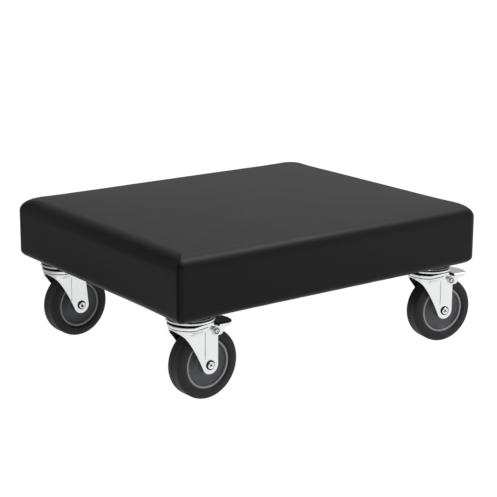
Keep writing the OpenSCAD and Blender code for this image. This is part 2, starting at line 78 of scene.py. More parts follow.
# Soft box that only glosses see, over the right side: it rises with the direction's height and its X.
# Above BOX_TOP it reaches further left, by BOX_OVER for each unit of height. Where the direction's Y is low,
# the share BOX_LOW of it reaches down to the floor
BOX_LIGHT = 2.2
BOX_RISE = (0.35, 0.8)
BOX_SIDE = (0.35, 0.6)
BOX_TOP = 0.6
BOX_OVER = 5.0
BOX_FRONT = (-0.65, -0.35)
BOX_LOW = 0.35
# Lamp: a square soft box, in metres and watts
LAMP_PLACE = Vector((0.8, -0.6, 1.5))
LAMP_TARGET = Vector((0, 0, 0.1))
LAMP_SIZE = 0.5
LAMP_POWER = 8

# Pad, in metres: its outer size comes from the frame
PAD_LOW, PAD_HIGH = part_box("seat_cover")
PAD_HALF = np.array([PAD_HIGH.x, PAD_HIGH.y])
CROWN = 0.7 * MM
TOP_EDGE = 16.5 * MM
BOTTOM_EDGE = 7 * MM
SIDE_DRAW = 1.2 * MM
VINYL = 1 * MM
TURNED_UNDER = 34 * MM
RIM_Z = PAD_HIGH.z - CROWN
SHOULDER_Z = RIM_Z - TOP_EDGE
# Corners in plan: radius at the side and how much it grows with the inset. The folded corner, nearest the
# camera, has its own values. The top edge is tighter round a corner, by CORNER_PINCH, felt over PINCH_REACH
CORNER = 9.5 * MM
CORNER_GROWTH = 0.6
FOLDED_CORNER = 0.65 * CORNER
FOLDED_GROWTH = -0.8
LEAST_CORNER = 0.8 * MM
CORNER_PINCH = 0.1
PINCH_REACH = 16 * MM
# The folded corner hangs lower: by how much, how far round it, over what height, and between which insets
NEAR_CORNER = np.array([PAD_LOW.x, PAD_LOW.y])
NEAR_DROP = 1.5 * MM
NEAR_REACH = 45 * MM
NEAR_HEIGHT = 30 * MM
NEAR_INSETS = (7 * MM, 11 * MM)
# Folds of each corner, in millimetres: place along the outline, depth and width. They fade out above over
# FOLD_FADE, which ends at FOLD_TOP, and below within FOLD_FOOT of the foot
FOLDS = ((-3.0, 1.0, 0.5), (1.2, 0.25, 0.55), (3.2, 0.2, 0.55))
FOLD_TOP = RIM_Z - 0.85 * TOP_EDGE
FOLD_FADE = 6 * MM
FOLD_FOOT = 2 * MM
# Pucker of the sides near the foot: depth, the two wavelengths over 2 pi, and height
PUCKER = 0.22 * MM
PUCKER_WAVES = (3.4 * MM, 7.9 * MM)
PUCKER_HEIGHT = 16 * MM
# Swelling of the skin by its stuffing: cell of the simulated copy, its share of the size at the start,
# pressure, frames, the farthest that a point goes, how far a cell's way is felt, and the points moved at a time
SWELL_CELL = 6 * MM
SWELL_START = 0.985
SWELL_PRESSURE = 4.0
SWELL_FRAMES = 20
SWELL_MOST = 1.4 * MM
SWELL_REACH = 9 * MM
SWELL_BATCH = 500

# Dust cloth, in metres: thickness, gap to the plates, sag at its middle, height of its waves and their
# radians to the metre, and how far from the edge waves and sag have grown
CLOTH = 0.4 * MM
CLOTH_GAP = 1.5 * MM
CLOTH_SAG = 2.2 * MM
CLOTH_WAVE = 0.5 * MM
CLOTH_WAVES = 150
WAVE_GROWS = 30 * MM
SAG_GROWS = 20 * MM

# Fork, brake and wheel, in millimetres of the caster's own frame: X where the wheel trails, heights from the
# floor, and the pedal's own sizes from its hinge
SHEET = 1.8
LEG_OUT = 13.8
LEG_SPLAY = math.radians(3.5)
SKIRT_R = 23.0
CROWN_R = 24.0
CROWN_Z = 84.6
CROWN_FOOT_Z = 80.4
CROWN_SHEET = 2.0
FLARE_Z = 71.4
FOOT_R = 9.7
AXLE_X, AXLE_Z = 15.0, 37.5
AXLE = (AXLE_X, 0, AXLE_Z)
TYRE_R = 37.5
TYRE_SEAT = 27.0
WHEEL_LIP = 9.2
BRAKED_CREASE, FREE_CREASE = 8.5, 2.0
CREASE_DEPTH, CREASE_WIDTH = 0.3, 0.55
RIM_STEP = 0.9
HINGE_X, HINGE_Z = 21.8, 73.0
HINGE = (HINGE_X, 0, HINGE_Z)
LOBE_R = 6.0
PEDAL_SHEET = 1.5
PEDAL_OUT = 15.4
PEDAL_TOP = 7.5
PEDAL_REACH = 26.0
PEDAL_BOW = 7.5
PEDAL_SLOPE = math.radians(2)
EAR_R = 5.4
EAR_FRONT = 4.3
EAR_TOP = 4.9
PEDAL_FRONT = 4.0
ACROSS = (0, 1, 0)


# Arrays and meshes

def smooth_step(t):
    """Rise from 0 to 1 with level ends: 3 t^2 - 2 t^3, held at 0 and 1 outside."""
    t = np.clip(t, 0, 1)
    return t * t * (3 - 2 * t)


def bezier(points, steps):
    """Points along the cubic curve with the end points and handles given, one row for each step."""
    t = np.linspace(0, 1, steps + 1)[:, None]
    a, b, c, d = np.asarray(points, float)
    return (1 - t) ** 3 * a + 3 * t * (1 - t) ** 2 * b + 3 * t * t * (1 - t) * c + t ** 3 * d


def grid_faces(rows, columns, wrap_rows=False, wrap_columns=False):
    """Quads between neighbouring points of a grid stored row by row."""
    i = np.arange(rows if wrap_rows else rows - 1)[:, None]
    j = np.arange(columns if wrap_columns else columns - 1)[None, :]
    down, right = (i + 1) % rows, (j + 1) % columns
    quads = np.stack([i * columns + j, i * columns + right, down * columns + right, down * columns + j], -1)
    return quads.reshape(-1, 4)


def shown(name, data):
    """New object in the scene."""
    item = bpy.data.objects.new(name, data)
    bpy.context.scene.collection.objects.link(item)
    return item


def piece(name, points, faces, crease=180, weld=True):
    """Mesh object at the origin, faces outwards, doubles merged unless weld is off, and sharp where faces
    meet above crease degrees."""
    mesh = bpy.data.meshes.new(name)
    mesh.from_pydata(np.asarray(points, float).reshape(-1, 3), [], faces)
    work = bmesh.new()
    work.from_mesh(mesh)
    if weld:
        bmesh.ops.remove_doubles(work, verts=work.verts, dist=1e-6)
        bmesh.ops.dissolve_degenerate(work, dist=1e-6, edges=work.edges)
    bmesh.ops.recalc_face_normals(work, faces=work.faces)
    work.to_mesh(mesh)
    work.free()
    mesh.shade_smooth()
    mesh.set_sharp_from_angle(angle=math.radians(crease))
    return shown(name, mesh)


def joined(items):
    """The first of the objects with the meshes of the others added to its own."""
    first = items[0]
    work = bmesh.new()
    for item in items:
        work.from_mesh(item.data)
    work.to_mesh(first.data)
    work.free()
    for item in items[1:]:
        bpy.data.objects.remove(item)
    return first


def caster_matrix(caster):
    """Frame of one caster: X where the wheel trails, Y across, Z up, origin on the floor under the swivel."""
    swivel, roll = (Vector(JOINTS[f"{caster}_{joint}"]["pos_m"]) for joint in ("swivel", "roll"))
    trailing = roll - swivel
    trailing.z = 0
    trailing.normalize()
    across = Vector((0, 0, 1)).cross(trailing)
    return np.array([trailing, across, (0, 0, 1)]).T, np.array([swivel.x, swivel.y, 0])


def placed(points, caster):
    """Points of the caster's own frame, in millimetres, moved into the frame of the whole object."""
    turn, place = caster_matrix(caster)
    return np.asarray(points, float).reshape(-1, 3) * MM @ turn.T + place


def turned(name, profile, caster, centre, axis, segments, crease):
    """Turned shape: the profile [radius, distance along the axis] goes to
    centre + radius (cos a u + sin a v) + distance axis, for a full turn of a."""
    centre, axis = np.asarray(centre, float), np.asarray(axis, float)
    side = np.array([1.0, 0, 0])
    other = np.cross(axis, side)
    a = np.linspace(0, 2 * math.pi, segments, endpoint=False)[:, None, None]
    radius, along = profile[None, :, :1], profile[None, :, 1:]
    points = centre + radius * (np.cos(a) * side + np.sin(a) * other) + along * axis
    faces = grid_faces(segments, len(profile), True, True)
    return piece(name, placed(points, caster), faces, crease)


def round_edges(item, width):
    """Small rounding along the sharp edges, and shading that keeps the flats flat."""
    bevel = item.modifiers.new("edges", "BEVEL")
    bevel.width = width
    bevel.segments = 2
    bevel.limit_method = "ANGLE"
    bevel.angle_limit = math.radians(40)
    bevel.harden_normals = True


def thicken(item, thickness):
    """Sheet metal or cloth: the wall grows inwards from the modelled face."""
    wall = item.modifiers.new("wall", "SOLIDIFY")
    wall.thickness = thickness
    wall.offset = -1
    wall.use_even_offset = True


def mount(item, body, slot, *nodes):
    """The piece rides on its body, takes its slot's finish and stands for the nodes given."""
    item.data.materials.append(MATERIALS[slot])
    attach(item, body)
    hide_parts(*nodes)


def second_finish(item, finish, where):
    """Faces whose middle, in the caster's own frame, passes where(x, y, z) take another finish."""
    caster = item.name.rsplit("_", 2)[0]
    turn, place = caster_matrix(caster)
    faces = item.data.polygons
    middles = np.array([face.center for face in faces])
    chosen = where(*((middles - place) @ turn / MM).T)
    now = np.array([face.material_index for face in faces])
    index = np.where(chosen, len(item.data.materials), now)
    faces.foreach_set("material_index", index.astype(np.int32))
    item.data.materials.append(MATERIALS[finish])


def from_axle(x, z):
    """Distance from the axle's middle line."""
    return np.hypot(x - AXLE_X, z - AXLE_Z)


def from_hinge(x, z):
    """Distance from the middle line of the pedal's hinge."""
    return np.hypot(x - HINGE_X, z - HINGE_Z)


# Finishes

class Wiring:
    """Adds nodes to one shader tree. A socket takes a plain value or another node's output."""

    def __init__(self, tree):
        self.tree = tree

    def add(self, kind, sockets=None, **settings):
        node = self.tree.nodes.new("ShaderNode" + kind)
        for name, value in settings.items():
            setattr(node, name, value)
        for key, value in (sockets or {}).items():
            if isinstance(value, bpy.types.NodeSocket):
                self.tree.links.new(value, node.inputs[key])
            else:
                node.inputs[key].default_value = value
        return node

    def math(self, operation, a, b, clamp=False):
        return self.add("Math", {0: a, 1: b}, operation=operation, use_clamp=clamp).outputs[0]

    def ramp(self, value, first, last):
        """first where the value is 0, last where it is 1, and in proportion between."""
        return self.add("Math", {0: value, 1: last - first, 2: first}, operation="MULTIPLY_ADD").outputs[0]

    def noise(self, where, scale, detail, rough=0.5):
        sockets = {"Vector": where, "Scale": scale, "Detail": detail, "Roughness": rough}
        return self.add("TexNoise", sockets).outputs["Fac"]

    def stretched(self, where, scale):
        return self.add("Mapping", {"Vector": where, "Scale": scale}).outputs[0]

    def band(self, value, low, high):
        """0 below low, 1 above high."""
        sockets = {"Value": value, "From Min": low, "From Max": high}
        return self.add("MapRange", sockets, interpolation_type="SMOOTHSTEP").outputs[0]

    def mix(self, factor, a, b):
        sockets = {"Factor": factor, 6: a, 7: b}
        return self.add("Mix", sockets, data_type="RGBA").outputs[2]

    def bump(self, height, strength, distance):
        return self.add("Bump", {"Height": height, "Strength": strength, "Distance": distance}).outputs[0]


def shader_group(name, inputs, outputs, build):
    """Node group with float inputs and outputs; build(wiring, inputs) gives the outputs' sockets by name."""
    tree = bpy.data.node_groups.new(name, "ShaderNodeTree")
    for socket, value in inputs.items():
        tree.interface.new_socket(socket, in_out="INPUT", socket_type="NodeSocketFloat").default_value = value
    for socket in outputs:
        tree.interface.new_socket(socket, in_out="OUTPUT", socket_type="NodeSocketFloat")
    wiring = Wiring(tree)
    start, end = tree.nodes.new("NodeGroupInput"), tree.nodes.new("NodeGroupOutput")
    for socket, value in build(wiring, start.outputs).items():
        tree.links.new(value, end.inputs[socket])
    return tree


def build_grain(w, given):
    """Pressed leather grain: low pillows between fine creases, at Scale pillows to the metre."""
    where = w.add("TexCoord").outputs["Object"]
    cells = w.add("TexVoronoi", {"Vector": where, "Scale": given["Scale"], "Randomness": 1.0},
                  feature="SMOOTH_F1")
    pillow = w.math("SUBTRACT", 1.0, cells.outputs["Distance"], True)
    pores = w.noise(where, w.math("MULTIPLY", given["Scale"], 2.7), 2.0)
    return {"Height": w.math("ADD", pillow, w.math("MULTIPLY", pores, 0.35))}


def build_smudge(w, given):
    """Uneven polish: broad cloudy patches and fine rubbing marks, centred on 0."""
    where = w.add("TexCoord").outputs["Object"]
    broad = w.noise(where, given["Scale"], 3.0, 0.6)
    fine = w.noise(w.stretched(where, (900, 900, 2600)), 1.0, 2.0)
    total = w.math("ADD", w.math("MULTIPLY", w.math("SUBTRACT", broad, 0.5), 1.4),
                   w.math("MULTIPLY", w.math("SUBTRACT", fine, 0.5), 0.35))
    return {"Change": w.math("MULTIPLY", total, given["Amount"])}


def build_dust(w, given):
    """Dust and floor dirt: on faces that look up, and thicker towards the floor."""
    where = w.add("TexCoord").outputs["Object"]
    up = w.add("SeparateXYZ", {0: w.add("NewGeometry").outputs["Normal"]}).outputs["Z"]
    height = w.add("SeparateXYZ", {0: where}).outputs["Z"]
    low = w.math("SUBTRACT", 1.0, w.band(height, 0.0, 0.1))
    lying = w.math("ADD", w.math("MULTIPLY", w.band(up, 0.1, 1.0), 0.6), w.math("MULTIPLY", low, 0.5))
    specks = w.band(w.noise(where, 420.0, 6.0, 0.7), 0.42, 0.75)
    return {"Mask": w.math("MULTIPLY", w.math("MULTIPLY", lying, specks), given["Amount"], True)}


def build_weave(w, given):
    """Non-woven cloth: pressed points on a diagonal grid over tangled fibres."""
    where = w.add("TexCoord").outputs["Object"]
    diagonal = w.add("Mapping", {"Vector": where, "Rotation": (0, 0, math.radians(45))}).outputs[0]
    points = w.add("TexVoronoi", {"Vector": diagonal, "Scale": given["Scale"], "Randomness": 0.0},
                   voronoi_dimensions="2D")
    fibres = w.noise(w.stretched(where, (1, 3, 1)), w.math("MULTIPLY", given["Scale"], 4.0), 5.0, 0.7)
    dots = w.band(points.outputs["Distance"], 0.12, 0.3)
    return {"Height": w.math("ADD", dots, w.math("MULTIPLY", fibres, 0.6))}


GROUPS = {
    "grain": shader_group("pressed_grain", {"Scale": 1400.0}, ["Height"], build_grain),
    "smudge": shader_group("uneven_polish", {"Scale": 60.0, "Amount": 0.1}, ["Change"], build_smudge),
    "dust": shader_group("floor_dust", {"Amount": 0.1}, ["Mask"], build_dust),
    "weave": shader_group("cloth_weave", {"Scale": 900.0}, ["Height"], build_weave),
}


def effect(w, name, **inputs):
    """One of the shared groups, placed in a material with its own values."""
    node = w.tree.nodes.new("ShaderNodeGroup")
    node.node_tree = GROUPS[name]
    for socket, value in inputs.items():
        node.inputs[socket].default_value = value
    return node.outputs


DUST_COLOUR = (0.32, 0.30, 0.27, 1)


def surface(slot, colour, roughness, metallic=0.0, specular=0.5, dust=0.05, shade=0.12, patch=60.0,
            polish=0.08, height=None, strength=0.3, depth=0.0002):
    """Finish with a colour that drifts by shade, a roughness that drifts by polish, dust, and a relief.
    height(w) gives the relief's height socket, and patch the drifts' waves to the metre."""
    made = bpy.data.materials.new(slot + "_finish")
    made.use_nodes = True
    w = Wiring(made.node_tree)
    shader = made.node_tree.nodes["Principled BSDF"]
    colour = np.array(colour, float)
    smudge = effect(w, "smudge", Scale=patch, Amount=1.0)["Change"]
    darker, lighter = (tuple(np.clip(colour * k, 0, 1)) + (1,) for k in (1 - shade, 1 + shade))
    tone = w.mix(w.math("ADD", smudge, 0.5, True), darker, lighter)
    lying = effect(w, "dust", Amount=dust)["Mask"]
    links = {
        "Base Color": w.mix(lying, tone, DUST_COLOUR),
        "Roughness": w.math("ADD", w.math("MULTIPLY", smudge, polish),
                            w.math("ADD", w.math("MULTIPLY", lying, 0.5), roughness), True),
    }
    if metallic:
        links["Metallic"] = w.math("MULTIPLY", w.math("SUBTRACT", 1.0, lying), metallic)
    if height:
        links["Normal"] = w.bump(height(w), strength, depth)
    for socket, value in links.items():
        w.tree.links.new(value, shader.inputs[socket])
    shader.inputs["Specular IOR Level"].default_value = specular
    return made


def relief(group, scale):
    """Relief of a shared group, at its own scale."""
    return lambda w: effect(w, group, Scale=scale)["Height"]


def rolled(scale):
    """Relief of rolled, drawn, moulded or grown material: noise drawn out along one direction."""
    return lambda w: w.noise(w.stretched(w.add("TexCoord").outputs["Object"], scale), 1.0, 4.0, 0.6)


FINISHES = {
    "black_vinyl": dict(colour=(0.004, 0.004, 0.0043), roughness=0.4, specular=0.15, dust=0.012, shade=0.1,
                        patch=18.0, polish=0.05, height=relief("grain", 1500.0), strength=0.06, depth=0.0001),
    "foam": dict(colour=(0.86, 0.8, 0.62), roughness=0.95, height=relief("grain", 700.0), strength=0.8),
    "plywood": dict(colour=(0.6, 0.44, 0.27), roughness=0.65, shade=0.2, height=rolled((60, 1400, 500))),
    "dust_cloth": dict(colour=(0.02, 0.02, 0.021), roughness=0.9, specular=0.2, dust=0.2,
                       height=relief("weave", 700.0), strength=0.7, depth=0.0003),
    "staple_wire": dict(colour=(0.6, 0.6, 0.61), roughness=0.35, metallic=1.0,
                        height=rolled((400, 400, 4000))),
    "zinc_screw": dict(colour=(0.66, 0.66, 0.67), roughness=0.3, metallic=1.0,
                       height=rolled((900, 900, 900))),
    # Dark grey: painted shade, for the plates and races in the shade under the seat
    "zinc_plate": dict(colour=(0.12, 0.12, 0.125), roughness=0.42, metallic=0.6, dust=0.1,
                       height=rolled((250, 2500, 2500)), strength=0.2, depth=0.0001),
    "bright_zinc": dict(colour=(0.78, 0.785, 0.79), roughness=0.24, metallic=1.0, dust=0.03, shade=0.03,
                        patch=45.0, polish=0.12, height=rolled((300, 300, 1600)), strength=0.12,
                        depth=0.0001),
    # Mid-grey zinc: painted shade along the fork's crease, on the dust ring's lip and on the rivets' rims
    "worn_zinc": dict(colour=(0.4, 0.4, 0.41), roughness=0.4, metallic=1.0, dust=0.05),
    "axle_steel": dict(colour=(0.74, 0.74, 0.75), roughness=0.1, metallic=1.0, dust=0.03, polish=0.05,
                       height=rolled((1500, 1500, 1500)), strength=0.15, depth=0.0001),
    # Dark: painted shade, for the balls in the gap under the race
    "ball_steel": dict(colour=(0.16, 0.15, 0.13), roughness=0.25, metallic=0.8, dust=0.02),
    # Near black: painted shade in the gaps, grooves and rings round heads where it is laid as a second finish
    "greased_steel": dict(colour=(0.02, 0.018, 0.014), roughness=0.45, specular=0.3, dust=0.02),
    # Lighter grey: painted highlight on the wheel core's raised ring
    "ring_grey": dict(colour=(0.42, 0.42, 0.425), roughness=0.4, dust=0.04),
    "spring_steel": dict(colour=(0.4, 0.4, 0.42), roughness=0.35, metallic=1.0),
    "grey_plastic": dict(colour=(0.125, 0.128, 0.136), roughness=0.5, specular=0.4, dust=0.06, shade=0.15,
                         height=relief("grain", 2600.0), strength=0.15, depth=0.0001),
    "black_rubber": dict(colour=(0.02, 0.02, 0.021), roughness=0.62, specular=0.3, dust=0.12, shade=0.2,
                         patch=90.0, height=relief("grain", 1900.0), strength=0.3, depth=0.0001),
}


MATERIALS = {slot: surface(slot, **finish) for slot, finish in FINISHES.items()}


# Pad

def pad_columns():
    """Columns round the pad: share of the way to each corner's centre, outward direction, bow of the side
    and distance along the outline from the nearest corner's middle, in metres."""
    centres, normals, bows, offsets = [], [], [], []
    end = 0.06
    ends = np.linspace(0, end, 15)[1:-1]
    along = np.concatenate([ends, np.linspace(end, 1 - end, 34), 1 - ends[::-1]])
    turns = np.linspace(0, math.pi / 2, 61)
    arc = CORNER * (turns - math.pi / 4)
    for side in range(4):
        normal = np.array([math.sin(side * math.pi / 2), -math.cos(side * math.pi / 2)]).round()
        travel = np.array([-normal[1], normal[0]])
        length = 2 * (abs(PAD_HALF @ travel) - CORNER)
        centres += [normal + travel * (2 * t - 1) for t in along]
        normals += [normal] * len(along)
        bows += list(4 * along * (1 - along))
        before, after = along * length, (1 - along) * length
        offsets += list(np.where(before < after, before, -after) - np.sign(after - before) * arc[0])
        centres += [normal + travel] * len(turns)
        normals += [normal * math.cos(t) + travel * math.sin(t) for t in turns]
        bows += [0] * len(turns)
        offsets += list(arc)
    return (np.array(values, float) for values in (centres, normals, bows, offsets))


def pad_profile():
    """Rings from the middle of the top to the middle of the underside:
    scale of the plan, inset from the side, height, share of the side's draw-in."""
    bottom = PAD_LOW.z + BOTTOM_EDGE
    rows = [(s, TOP_EDGE, RIM_Z, 0) for s in np.linspace(0.01, 0.985, 44)]
    for a in np.linspace(math.pi / 2, 0, 14):
        rows.append((1, TOP_EDGE * (1 - math.cos(a)), RIM_Z - TOP_EDGE * (1 - math.sin(a)), 0))
    for t in np.linspace(0, 1, 20)[1:-1]:
        rows.append((1, 0, SHOULDER_Z + (bottom - SHOULDER_Z) * t, math.sin(math.pi * t)))
    for a in np.linspace(0, math.pi / 2, 9):
        rows.append((1, BOTTOM_EDGE * (1 - math.cos(a)), bottom - BOTTOM_EDGE * math.sin(a), 0))
    for inset in np.linspace(BOTTOM_EDGE, TURNED_UNDER, 8)[1:]:
        rows.append((1, inset, PAD_LOW.z, 0))
    rows.append((1, TURNED_UNDER + 0.3 * MM, PAD_LOW.z + VINYL, 0))
    rows += [(s, TURNED_UNDER + MM, PAD_LOW.z + 1.5 * VINYL, 0) for s in (0.99, 0.6, 0.2, 0.01)]
    return np.array(rows, float)


def fold_depth(offset, z):
    """Depth of the corner's folds at a distance along the outline and a height: the sum of
    depth exp(-((offset - place) / width)^2), faded at the shoulder and at the foot."""
    tucks = sum(depth * MM * np.exp(-((offset / MM - place) / width) ** 2) for place, depth, width in FOLDS)
    return tucks * smooth_step((FOLD_TOP - z) / FOLD_FADE) \
        * smooth_step((z - PAD_LOW.z + FOLD_FOOT) / (2 * FOLD_FOOT))


def pucker_depth(offset, bow, z):
    """Depth of the sides' pucker: the product of two waves along the outline, largest where the side bows
    most, fading upwards."""
    first, second = (offset / wave for wave in PUCKER_WAVES)
    waves = PUCKER * np.sin(first) * np.sin(second + 1) * bow
    return waves * smooth_step((PAD_LOW.z + PUCKER_HEIGHT - z) / PUCKER_HEIGHT)


def near_drop(plan, inset, z):
    """How far the folded corner hangs: NEAR_DROP exp(-(distance / reach)^2), less upwards and inwards."""
    felt = np.exp(-((plan - NEAR_CORNER) ** 2).sum(-1) / NEAR_REACH ** 2)
    outer, inner = NEAR_INSETS
    return NEAR_DROP * felt * smooth_step((PAD_LOW.z + NEAR_HEIGHT - z) / NEAR_HEIGHT) \
        * smooth_step((inner - inset) / (inner - outer))


def pad_points():
    """Point = scale (centre (half - inset - r) + r normal - draw normal), with r the corner's radius there;
    the top rises by CROWN (1 - x^2)(1 - y^2), and folds and pucker press in along the normal."""
    centres, normals, bows, offsets = pad_columns()
    scale, inset, z, share = (column[:, None] for column in pad_profile().T)
    tight = 1 - CORNER_PINCH * np.exp(-(offsets / PINCH_REACH) ** 2)[None]
    low = PAD_LOW.z + BOTTOM_EDGE
    side = np.clip((z - low) / (SHOULDER_Z - low), 0, 1)
    z = np.where(z >= SHOULDER_Z, RIM_Z - (RIM_Z - z) * tight, z + side * TOP_EDGE * (1 - tight))
    inset = np.where(z > SHOULDER_Z - MM, np.minimum(inset, TOP_EDGE) * tight, inset)
    folded = (1 - centres[:, 0]) * (1 - centres[:, 1]) / 4
    growth = CORNER_GROWTH + (FOLDED_GROWTH - CORNER_GROWTH) * folded
    radius = np.maximum(CORNER + (FOLDED_CORNER - CORNER) * folded + inset * growth, LEAST_CORNER)
    radius = np.where(inset > TOP_EDGE, LEAST_CORNER, radius)
    plan = centres * (PAD_HALF - (inset + radius)[..., None]) + normals * radius[..., None]
    pressed = (fold_depth(offsets, z) + pucker_depth(offsets, bows, z)) * (inset < TOP_EDGE)
    plan = scale[..., None] * (plan - normals * (bows * share * SIDE_DRAW + pressed)[..., None])
    x, y = plan[..., 0] / PAD_HALF[0], plan[..., 1] / PAD_HALF[1]
    rise = CROWN * (1 - x * x) * (1 - y * y) * smooth_step((z - SHOULDER_Z) / TOP_EDGE)
    return np.concatenate([plan, (z + rise - near_drop(plan, inset, z))[..., None]], -1)


def coordinates(mesh):
    """Points of a mesh as rows."""
    flat = np.empty(3 * len(mesh.vertices))
    mesh.vertices.foreach_get("co", flat)
    return flat.reshape(-1, 3)


def swollen(points, faces):
    """Points of the closed skin after its stuffing has pushed it out. A coarse copy is blown up as cloth,
    held over the board, and each skin point goes the mean way of the cells near it, weighted
    exp(-(distance / reach)^2). The whole keeps its outer size."""
    scene = bpy.context.scene
    mesh = bpy.data.meshes.new("swelling")
    mesh.from_pydata(points, [], faces)
    item = shown("swelling", mesh)
    cells = item.modifiers.new("cells", "REMESH")
    cells.mode = "VOXEL"
    cells.voxel_size = SWELL_CELL
    coarse = bpy.data.meshes.new_from_object(item.evaluated_get(bpy.context.evaluated_depsgraph_get()))
    item.modifiers.clear()
    item.data = coarse
    home = coordinates(coarse)
    middle = (home.min(0) + home.max(0)) / 2
    before = middle + (home - middle) * SWELL_START
    coarse.vertices.foreach_set("co", before.ravel())
    coarse.update()
    held = item.vertex_groups.new(name="held")
    held.add(np.flatnonzero(home[:, 2] < PAD_LOW.z + SWELL_CELL / 2).tolist(), 1.0, "REPLACE")
    cloth = item.modifiers.new("cloth", "CLOTH")
    cloth.settings.vertex_group_mass = "held"
    cloth.settings.use_pressure = True
    cloth.settings.uniform_pressure_force = SWELL_PRESSURE
    cloth.settings.effector_weights.gravity = 0
    cloth.point_cache.frame_start, cloth.point_cache.frame_end = 1, SWELL_FRAMES
    for number in range(1, SWELL_FRAMES + 1):
        scene.frame_set(number)
    shaped = item.evaluated_get(bpy.context.evaluated_depsgraph_get())
    way = coordinates(shaped.to_mesh()) - before
    shaped.to_mesh_clear()
    bpy.data.objects.remove(item)
    for used in (mesh, coarse):
        bpy.data.meshes.remove(used)
    scene.frame_set(1)
    way *= SWELL_MOST / max(np.linalg.norm(way, axis=1).max(), SWELL_MOST)
    moved = points.copy()
    for first in range(0, len(points), SWELL_BATCH):
        batch = slice(first, first + SWELL_BATCH)
        some = points[batch]
        gaps = (some ** 2).sum(1)[:, None] + (home ** 2).sum(1) - 2 * some @ home.T
        weight = np.exp(-gaps / SWELL_REACH ** 2)
        moved[batch] += weight @ way / weight.sum(1)[:, None]
    low, high = points.min(0), points.max(0)
    return low + (moved - moved.min(0)) * (high - low) / (moved.max(0) - moved.min(0))


def seat_cushion():
    """Closed vinyl skin of the pad, from the middle of the top round to the middle of the underside."""
    points = pad_points()
    rows, columns = points.shape[:2]
    faces = grid_faces(rows, columns, wrap_columns=True).tolist()
    last = (rows - 1) * columns
    j = np.arange(columns)
    next_j = (j + 1) % columns
    for end, first, second in ((rows * columns, next_j, j), (rows * columns + 1, last + j, last + next_j)):
        faces += np.stack([np.full(columns, end), first, second], -1).tolist()
    points = np.concatenate([points.reshape(-1, 3), points[[0, -1]].mean(1)])
    points = swollen(points, faces)
    item = piece("seat_cushion", points, faces, weld=False)
    mount(item, "seat", "black_vinyl", "seat_cover", "foam_pad")


def dust_cloth():
    """Cloth under the board, cut out round the four plates: flat at its staples, with a shallow sag and small
    waves that grow towards the middle."""
    low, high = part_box("dust_cover")
    plate_low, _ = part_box("rear_right_top_plate")
    notch = np.array([plate_low.x, plate_low.y]) - CLOTH_GAP
    half = np.array([high.x, high.y])
    lines = [np.concatenate([np.linspace(-half[k], half[k], count), [-notch[k], notch[k]]])
             for k, count in ((0, 81), (1, 65))]
    x, y = np.meshgrid(*(np.unique(line.round(6)) for line in lines), indexing="ij")
    edge = np.minimum(half[0] - abs(x), half[1] - abs(y))
    wave = CLOTH_WAVE * np.sin(x * CLOTH_WAVES) * np.sin(y * CLOTH_WAVES) * smooth_step(edge / WAVE_GROWS)
    sag = CLOTH_SAG * (1 - (x / half[0]) ** 2) * (1 - (y / half[1]) ** 2) + wave
    z = low.z - np.maximum(sag, 0) * smooth_step(edge / SAG_GROWS)
    quads = grid_faces(*x.shape)
    middle = abs(np.stack([x, y], -1).reshape(-1, 2)[quads].mean(1))
    quads = quads[~(middle > notch).all(1)]
    item = piece("dust_cloth", np.stack([x, y, z], -1), quads[:, ::-1], 60)
    work = bmesh.new()
    work.from_mesh(item.data)
    bmesh.ops.delete(work, geom=[v for v in work.verts if not v.link_faces], context="VERTS")
    for face in work.faces:
        if face.normal.z > 0:
            face.normal_flip()
    work.to_mesh(item.data)
    work.free()
    thicken(item, CLOTH)
    mount(item, "seat", "dust_cloth", "dust_cover")


# Wheels

def both_sides(half):
    """Closed profile from the half on the positive side of the wheel."""
    half = np.asarray(half, float)
    return np.concatenate([half, half[::-1] * [1, -1]])


def tyre(caster):
    """Tread with round shoulders, a shallow step beside the core and a fine parting groove by its middle."""
    half, flat, shoulder = 10.5, 7.0, 3.5
    seat, lip, top = TYRE_SEAT, WHEEL_LIP, TYRE_R
    edge = top - shoulder
    profile = both_sides(np.concatenate([
        [[seat, lip - 0.7], [seat + 0.15, lip - 0.5]],
        bezier([[seat + 0.5, lip - 0.15], [seat + 1, half - 0.4], [seat + 2, half], [seat + 4, half]], 8),
        bezier([[seat + 4, half], [edge - 1.5, half], [edge - 0.8, half - 0.1], [edge, half - 0.4]], 5)[1:],
        bezier([[edge, half - 0.4], [top - shoulder / 3, half - 0.8], [top, flat + shoulder / 2],
                [top, flat]], 12)[1:],
        [[top, 4], [top, 1], [top - 0.15, 0.5], [top - 0.15, 0.35], [top, 0.15], [top, 0.01]],
    ]))
    item = turned(f"{caster}_tyre_tread", profile, caster, AXLE, ACROSS, 160, 40)
    mount(item, f"{caster}_wheel", "black_rubber", f"{caster}_tyre")


